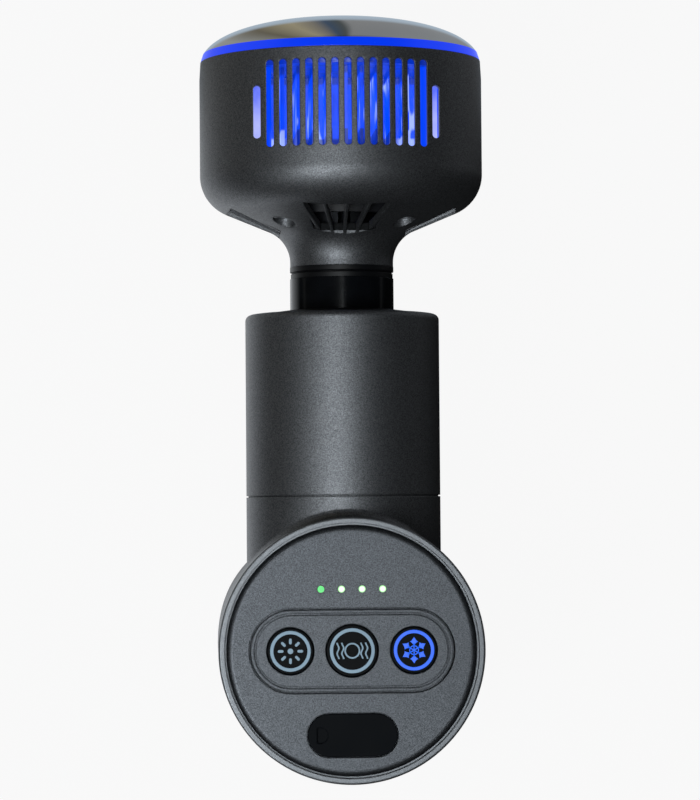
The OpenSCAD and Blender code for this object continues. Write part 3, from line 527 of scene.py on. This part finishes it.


# The heat sink. Extruded aluminium fins stand between the fan and the cooling module. The blue
# light of the lamps under them, which fills the gaps, is painted on the fins as a glow.
def washed_fins(name):
    """Milled aluminium in painted blue light, paler by the nearest lights, with painted shade at
    both ends.
    """
    def paint(place):
        along = place.axis(1)
        across = place.axis(0)
        side = across.math("ABSOLUTE")
        line = noise(place, 1.4, 3.0)
        stretched = place.node("ShaderNodeMapping", {}, {0: place, 3: Vector((1.0, 0.35, 1.0))})
        patch = noise(stretched, 0.35, 1.0)
        low = along.ramp(99.2 * MM, 99.8 * MM)
        high = 1 - along.ramp(109.8 * MM, 110.6 * MM)
        inner = 1 - side.ramp(10 * MM, 12 * MM)
        # Painted shade at both ends of the fins.
        painted_end_shade = (1 - (1 - low) * inner * 0.7) * (1 - (1 - high) * 0.6)
        shade = painted_end_shade * (patch.ramp(0.3, 0.6) * 0.35 + 0.65)
        hot = (patch.ramp(0.6, 0.68) + (1 - inner) * (1 - low)) * high
        glow = mix(hot, lit_blue, (0.3, 0.4, 1.0, 1.0))
        return {
            "Base Color": mix(line, srgb("4c5054"), srgb("5f6367")),
            "Roughness": line * 0.15 + 0.3,
            "Emission Color": mix(shade, (0, 0, 0, 1), glow),
            "Normal": rounded(line, 0.004, 0.1),
        }
    return finish(name, {"Metallic": 1.0, "Emission Strength": 1.2}, paint)


dress(washed_fins("sink_aluminium"), "heat_sink")

# The cooling module. Two white ceramic plates with rows of pellets between them lie under the
# contact plate, in a ring of soft foam.
module_ceramic = moulded("module_ceramic", "f2f0ea", 0.5, 0.004)
foam = moulded("foam", "d9d5c8", 0.8, 0.03)
dress(module_ceramic, "thermo_module")
dress(foam, "insulation_ring")


# The light ring. A clear moulded ring sits between the housing and the contact plate, and blue
# lamps light it from inside.
def lit_plastic(name, body, light, strength, roughness=0.25):
    """Clear plastic full of light, a little uneven where the lights behind it are far apart."""
    def paint(place):
        uneven = noise(place, 0.12)
        cloud = noise(place, 1.5)
        return {
            "Base Color": mix(uneven, shaded(srgb(body), 0.85), srgb(body)),
            "Emission Color": mix(uneven, shaded(srgb(light), 0.85), srgb(light)),
            "Roughness": cloud * 0.1 + (roughness - 0.05),
            "Normal": rounded(cloud, 0.003, 0.15),
        }
    return finish(name, {"Emission Strength": strength}, paint)


dress(lit_plastic("glow_blue", "06103a", "0038f6", 1.0), "light_ring")


# The contact plate. A turned and polished aluminium dome, chromed, which touches the skin. It is
# flatter in the middle than at its edge, and its spigot drops into the light ring.
glow_y = 116.2
apex_y = 123.0
crown_edge = 26.9
crown_full = 27.5
crown_power = 2.2
crown_steps = 64


def fall(radius):
    """How far the dome falls away at a radius, in parts of its full depth."""
    return 1 - (1 - (radius / crown_full) ** crown_power) ** (1 / crown_power)


crown_drop = (apex_y - glow_y) / fall(crown_edge)


def crown(radius):
    """The dome's place on the axis at a radius."""
    return apex_y - crown_drop * fall(radius)


def polished(name):
    """Bright chrome with the faint marks of polishing and of handling."""
    def paint(place):
        wipe = noise(place, 0.08, 3.0)
        mark = noise(place, 2.0, 1.0)
        return {
            "Base Color": mix(wipe, srgb("c9cdd0"), srgb("dfe2e4")),
            "Roughness": wipe * 0.06 + mark * 0.02 + 0.02,
        }
    return finish(name, {"Metallic": 1.0}, paint)


crown_radii = [crown_edge * math.sin(math.pi / 2 * i / crown_steps) for i in range(crown_steps + 1)]
spigot_out, spigot_in, pad_r = 24.85, 23.25, 18.28
pad_y = apex_y - 3.6
dome = turned(
    "dome_plate",
    [(radius, crown(radius)) for radius in crown_radii]
    + [(spigot_out, glow_y), (spigot_out, rim_y + 0.1), (spigot_in, rim_y + 0.1),
       (spigot_in, min(crown(spigot_in) - 1.8, pad_y)), (pad_r, pad_y), (0, pad_y)],
)
smooth(dome, 40)
own(dome, polished("plate_chrome"), "piston", "plate_chrome", "contact_plate")


# The control board. A green board under the control face carries the switches, the steel charging
# socket and four charge lights, which show through clear moulded pins.
light_pitch = 3.89
light_y = 11.6
nothing_lit = 1000
control_green = board("control_green", nothing_lit)
socket_steel = machined("socket_steel", "b8bbbf", 0.3, 2)


def charge_lights(name):
    """Clear pins with a light under each: the first is green, and the others glare almost white."""
    def paint(place):
        across = place.axis(0)
        up = place.axis(1) - light_y * MM
        first = across < -light_pitch * MM
        nearest = (across * (1 / (light_pitch * MM)) + 0.5).math("ROUND")
        off = across - (nearest - 0.5) * (light_pitch * MM)
        rim = length(off, up).ramp(0.35 * MM, 0.62 * MM)
        hot = mix(rim, (1.0, 1.0, 0.95, 1.0), (0.35, 0.95, 0.3, 1.0))
        cloud = noise(place, 2.0)
        return {
            "Base Color": mix(cloud, srgb("202a24"), srgb("2c3830")),
            "Roughness": cloud * 0.1 + 0.2,
            "Emission Color": mix(first, hot, srgb("0ad04a")),
        }
    return finish(name, {"Emission Strength": 1.0}, paint)


dress(control_green, "control_board")
dress(black_plastic, "tact_switches")
dress(socket_steel, "usb_socket")
dress(charge_lights("lens_clear"), "indicator_lenses")

# The control face. A satin bezel ring rims the top of the handle, a flat plate sprayed like the
# barrel lies inside it, and a racetrack insert round the buttons shows a raised rib in a groove.
bezel_paint = flake_paint("bezel_paint", "5c5e61", "6e7174", 0.44, 0.006, 0.2)
face_paint = flake_paint("face_paint", "35373a", "5b5e62", 0.46, 0.02, 0.25)
dress(bezel_paint, "bezel_ring")
dress(face_paint, "face_plate", "button_surround")

# The buttons. Three black moulded caps with a clear ring let into each, and a pictogram inlaid in
# its middle: heat, massage and cold. Only the cold button is lit.
button_pitch = 11.66
button_top = 131.6
inlay = 0.04
button_black = moulded("button_black", "050709", 0.55, 0.01, gloss=0.08)
# The grey rings and their pictograms aren't lit: their faint glow is painted light.
ring_grey = lit_plastic("ring_grey", "86a0b2", "698497", 0.25, 0.5)
button_blue = lit_plastic("button_blue", "03081c", "0264fe", 1.0, 0.4)
dress(button_black, "heat_button", "power_button", "cold_button")
dress(ring_grey, "heat_button_ring", "power_button_ring")
dress(button_blue, "cold_button_ring")


def figure(outline):
    """A flat figure with an outline of (x, y) in mm, a face at height 0."""
    bpy.ops.mesh.primitive_circle_add(vertices=len(outline), radius=1, fill_type="NGON")
    shape = bpy.context.object
    for vertex, (x, y) in zip(shape.data.vertices, outline):
        vertex.co = Vector((x, y, 0)) * MM
    return shape


def bar(start, end, width, turn=0):
    """A stroke with round ends between two places on the x axis, turned about the middle."""
    half = width / 2
    outline = arc((end - half, 0), half, -90, 90, 6) + arc((start + half, 0), half, 90, 270, 6)
    shape = figure(outline)
    shape.data.transform(Matrix.Rotation(math.radians(turn), 4, "Z"))
    return shape


def hoop(outer, inner):
    """A flat ring."""
    shape = figure(arc((0, 0), outer, 0, 350, 35))
    bpy.ops.object.mode_set(mode="EDIT")
    bpy.ops.mesh.select_all(action="SELECT")
    bpy.ops.mesh.inset(thickness=(outer - inner) * MM)
    bpy.ops.mesh.delete(type="FACE")
    bpy.ops.object.mode_set(mode="OBJECT")
    return shape


def wave(x, height, reach, width):
    """An upright wavy stroke of one and a half waves."""
    bpy.ops.mesh.primitive_grid_add(x_subdivisions=1, y_subdivisions=24, size=1)
    shape = bpy.context.object
    for vertex in shape.data.vertices:
        up = vertex.co.y * height
        sway = reach * math.sin(up / height * 3 * math.pi)
        vertex.co = Vector((x + sway + vertex.co.x * width, up, 0)) * MM
    return shape


def pictogram(name, shapes, button, material, body, slot):
    """Joins flat shapes, gives them their thickness and lays them on a button."""
    piece = joined(shapes)
    piece.name = name
    bpy.ops.object.mode_set(mode="EDIT")
    bpy.ops.mesh.select_all(action="SELECT")
    bpy.ops.mesh.extrude_region_move(TRANSFORM_OT_translate={"value": (0, 0, inlay * MM)})
    bpy.ops.mesh.select_all(action="SELECT")
    bpy.ops.mesh.normals_make_consistent(inside=False)
    bpy.ops.object.mode_set(mode="OBJECT")
    piece.data.transform(Matrix.Translation(Vector((button * button_pitch, 0, button_top)) * MM))
    own(piece, material, body, slot)


rays = [bar(1.3, 2.4, 0.53, turn) for turn in range(0, 360, 45)]
pictogram("heat_pictogram", [figure(arc((0, 0), 0.53, 0, 345, 23))] + rays,
          -1, ring_grey, "heat_key", "ring_grey")
waves = [wave(x, 3.06, 0.17, 0.3) for x in (-2.7, -1.8, 1.8, 2.7)]
pictogram("massage_pictogram", [hoop(1.5, 1.2)] + waves, 0, ring_grey, "power_key", "ring_grey")
leaf = [(1.05, -0.12), (1.4, -0.42), (1.62, -0.78), (1.84, -0.44), (2.5, 0),
        (1.84, 0.44), (1.62, 0.78), (1.4, 0.42), (1.05, 0.12)]
flake = [hoop(0.93, 0.72), figure(arc((0, 0), 0.26, 0, 330, 11))]
for turn in range(30, 390, 60):
    tip = figure(leaf)
    tip.data.transform(Matrix.Rotation(math.radians(turn), 4, "Z"))
    flake += [tip, bar(0.2, 1.3, 0.22, turn)]
pictogram("cold_pictogram", flake, 1, button_blue, "cold_key", "glow_blue")

# The port cover. A flap of soft black rubber with a thumb notch closes the charging socket, and
# turns up on one short end.
cover_rubber = moulded("cover_rubber", "03060a", 0.6, 0.01, 0.3, 0.07)
dress(cover_rubber, "port_cover")

# The camera. It stands over the machine and looks down on the control face, and the barrel is
# upright in the picture.
eye = Vector((-38.5, 22.94, 823.9)) * MM
yaw, pitch, roll = (math.radians(a) for a in (3.177, 2.008, -0.444))
focal_pixels = 3675.6
picture_height = 800
level = math.cos(pitch)
ahead = Vector((math.sin(yaw) * level, math.sin(pitch), -math.cos(yaw) * level))
flat_right = Vector((math.cos(yaw), 0, math.sin(yaw)))
flat_up = flat_right.cross(ahead)
right = flat_right * math.cos(roll) + flat_up * math.sin(roll)
up = flat_up * math.cos(roll) - flat_right * math.sin(roll)
camera_data = bpy.data.cameras.new("camera")
camera_data.sensor_fit = "VERTICAL"
camera_data.sensor_height = 36
camera_data.lens = focal_pixels / picture_height * camera_data.sensor_height
camera_data.clip_start = 0.01
camera = bpy.data.objects.new("camera", camera_data)
camera.matrix_world = Matrix((
    (right.x, up.x, -ahead.x, eye.x),
    (right.y, up.y, -ahead.y, eye.y),
    (right.z, up.z, -ahead.z, eye.z),
    (0, 0, 0, 1),
))
bpy.context.scene.collection.objects.link(camera)
bpy.context.scene.camera = camera

# The studio. The camera sees a wide white floor and a white room, and one long soft box hangs over
# the left of the machine. Metal sees a pale strip of floor on its left, and pale, warm and dark
# bands past the head.
bpy.ops.mesh.primitive_plane_add(size=6, location=(0, 0, 0))
floor = bpy.context.object
floor.name = "floor"


def floor_paint(place):
    """Matt board, a little uneven."""
    return {"Roughness": noise(place, 0.001) * 0.1 + 0.8}


floor_white = finish("floor", {"Base Color": (0.3, 0.3, 0.3, 1)}, floor_paint)
floor.data.materials.append(floor_white)
surface = Wire(floor_white.node_tree.nodes["Principled BSDF"].outputs[0])
spot = Wire(floor_white.node_tree.nodes["Texture Coordinate"].outputs["Object"])
seen = Wire(floor_white.node_tree.nodes.new("ShaderNodeLightPath").outputs["Is Camera Ray"])
mirrored = Wire(seen.socket.node.outputs["Is Glossy Ray"])


def room(across, along):
    """What metal sees past the head, by the compass: bands of pale, warm and dark."""
    bearing = across.math("ARCTAN2", along) * (2 / math.pi) + 0.5
    stops = [
        (0.0, (0.36, 0.36, 0.34, 1)), (0.22, (0.17, 0.15, 0.11, 1)), (0.37, (0.38, 0.33, 0.22, 1)),
        (0.44, (0.22, 0.2, 0.17, 1)), (0.485, (0.06, 0.09, 0.14, 1)), (0.53, (0.08, 0.09, 0.09, 1)),
        (0.56, (0.26, 0.26, 0.26, 1)), (1.0, (0.3, 0.31, 0.32, 1)),
    ]
    return bearing.node("ShaderNodeValToRGB", {"stops": stops}, {0: bearing})


past_x = spot.axis(0)
past_y = spot.axis(1) - 0.12
under = mix(length(past_x, past_y).ramp(0.06, 0.1), (0.42, 0.5, 0.58, 1), room(past_x, past_y))
strip = past_x.ramp(-0.3, -0.1) * (1 - past_x.ramp(-0.05, -0.01))
beside = mix(strip, (0.01, 0.01, 0.01, 1), (1.2, 1.25, 1.3, 1))
floor_view = mix(seen, mix(past_y.ramp(-0.01, 0.005), beside, under), (1, 1, 1, 1))
white = surface.node("ShaderNodeEmission", {}, {"Color": floor_view, "Strength": 1.0})
shown = surface.node("ShaderNodeMixShader", {}, {0: seen * 0.93 + mirrored, 1: surface, 2: white})
last = floor_white.node_tree.nodes["Material Output"]
floor_white.node_tree.links.new(shown.socket, last.inputs[0])

world = bpy.data.worlds.new("studio")
bpy.context.scene.world = world
world.use_nodes = True
background = world.node_tree.nodes["Background"]
seen = Wire(world.node_tree.nodes.new("ShaderNodeLightPath").outputs["Is Camera Ray"])
mirrored = Wire(seen.socket.node.outputs["Is Glossy Ray"])
facing = Wire(world.node_tree.nodes.new("ShaderNodeTexCoord").outputs["Generated"])
leftward = 1 - facing.axis(0).ramp(-0.9, 0.5)
sides = mix(leftward, (0.01, 0.01, 0.01, 1), (0.06, 0.055, 0.05, 1))
horizon = facing.axis(1).ramp(0.2, 0.5) * (1 - facing.axis(2).ramp(0.1, 0.6))
room_view = mix(horizon, sides, room(facing.axis(0), facing.axis(1)))
unseen_view = mix(mirrored, (0.02, 0.02, 0.02, 1), room_view)
shown = mix(seen, unseen_view, (1, 1, 1, 1))
world.node_tree.links.new(shown.socket, background.inputs["Color"])


def soft_box(name, at, aim, size, power, colour):
    """An area lamp, placed and aimed in metres."""
    lamp = bpy.data.lights.new(name, "AREA")
    lamp.shape = "RECTANGLE"
    lamp.size, lamp.size_y = size
    lamp.energy = power
    lamp.color = colour
    holder = bpy.data.objects.new(name, lamp)
    holder.location = at
    holder.rotation_euler = (Vector(aim) - Vector(at)).to_track_quat("-Z", "Y").to_euler()
    bpy.context.scene.collection.objects.link(holder)


soft_box("key", (-0.19, -0.085, 0.8), (0, 0.04, 0.115), (0.1, 0.5), 4.3, (0.92, 0.97, 1.0))

bpy.context.scene.view_settings.view_transform = "Standard"
